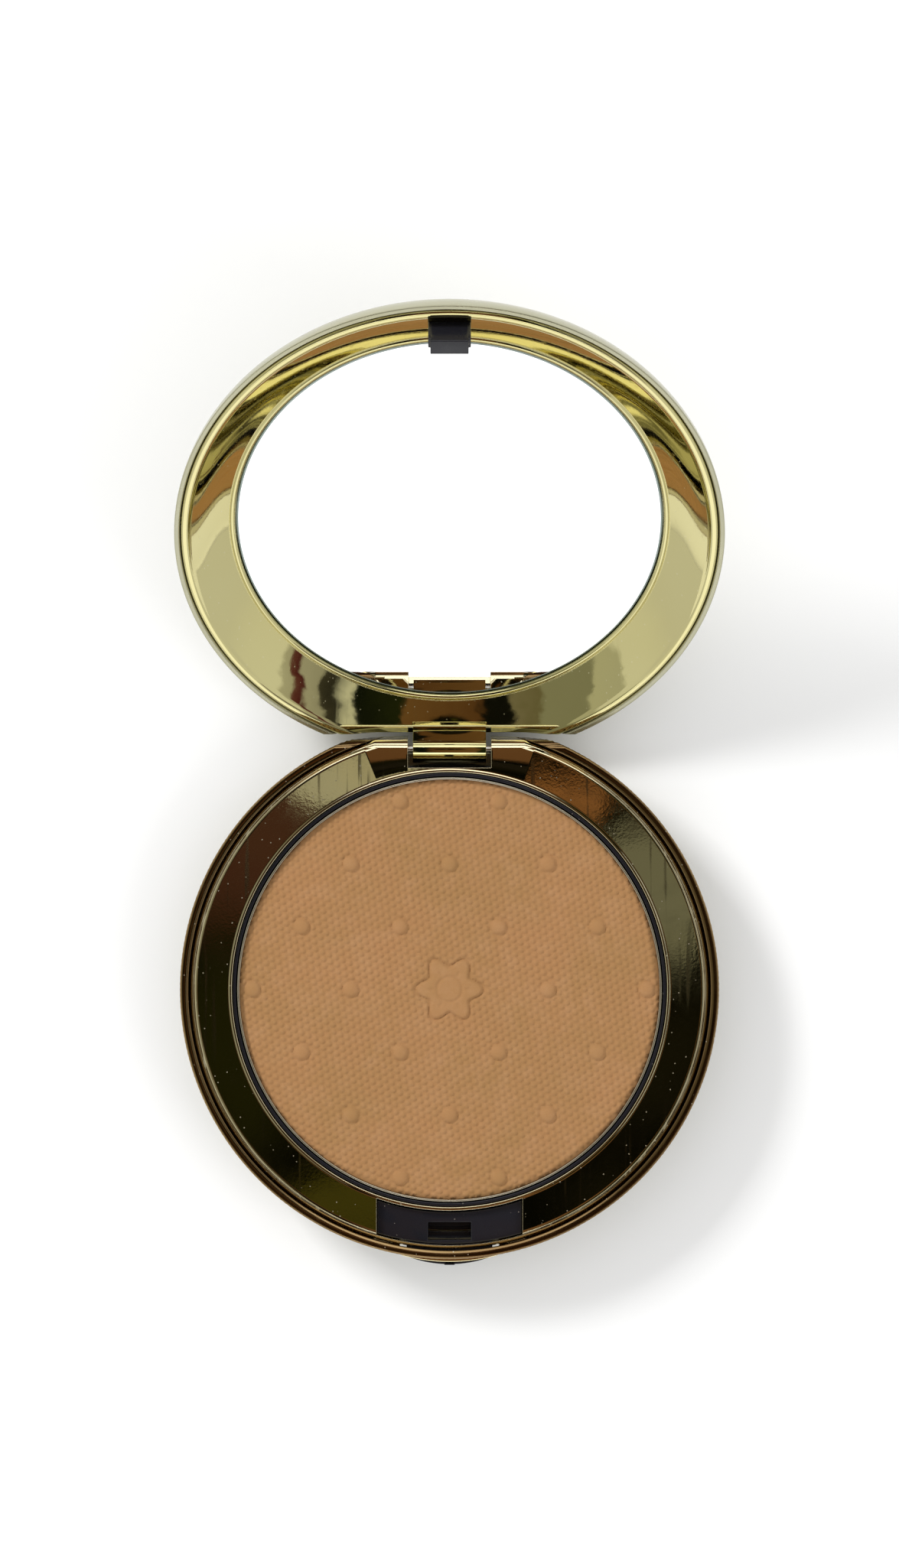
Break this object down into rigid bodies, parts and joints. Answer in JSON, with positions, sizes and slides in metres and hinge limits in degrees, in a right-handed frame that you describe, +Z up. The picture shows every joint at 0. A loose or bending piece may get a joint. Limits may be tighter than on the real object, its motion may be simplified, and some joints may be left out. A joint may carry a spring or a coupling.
{
  "type": "powder compact",
  "caption": "Round hinged powder compact held open on its stop, with a mirror in the lid, a pan of pressed powder in the base, and a push-button latch at the front.",
  "frame": {"origin": "centre of the flat foot, on the surface the compact stands on", "axes": "+Z up, +Y from the push button to the hinge, +X along the hinge pin, to the right when seen from the button"},
  "size_m": [0.075, 0.1309, 0.0484],
  "materials": {
    "case_satin": "satin",
    "bezel_gold": "gloss",
    "ring_gold": "gloss",
    "band_bronze": "gloss",
    "button_gold": "gloss",
    "black_plastic": "satin",
    "pan_metal": "satin",
    "powder": "matte",
    "steel": "satin",
    "mirror_glass": "polished",
    "tape": "matte",
    "label": "satin"
  },
  "bodies": {
    "base": {"base_shell": "case_satin", "side_band": "band_bronze", "base_ring": "ring_gold", "pan_tray": "black_plastic", "powder_pan": "pan_metal", "pressed_powder": "powder", "pan_adhesive": "tape", "ballast_disc": "steel", "ballast_tape": "tape", "bottom_label": "label", "hinge_pin": "steel", "latch_spring_left": "steel", "latch_spring_right": "steel"},
    "button": {"latch_slider": "black_plastic", "push_button": "button_gold"},
    "lid": {"lid_shell": "case_satin", "lid_bezel": "bezel_gold", "mirror": "mirror_glass", "mirror_pad": "tape", "lid_catch": "black_plastic"}
  },
  "joints": [
    {"name": "lid_hinge", "type": "hinge", "parent": "base", "child": "lid", "pos_m": [0, 0.0334, 0.0069], "axis": [1, 0, 0], "range_deg": [0, 142.4]},
    {"name": "button_press", "type": "slide", "parent": "base", "child": "button", "axis": [0, 1, 0], "range_m": [0, 0.0008], "stiffness_N_per_m": 1500, "springref_m": -0.0008, "deforming": ["latch_spring_left", "latch_spring_right"]}
  ]
}
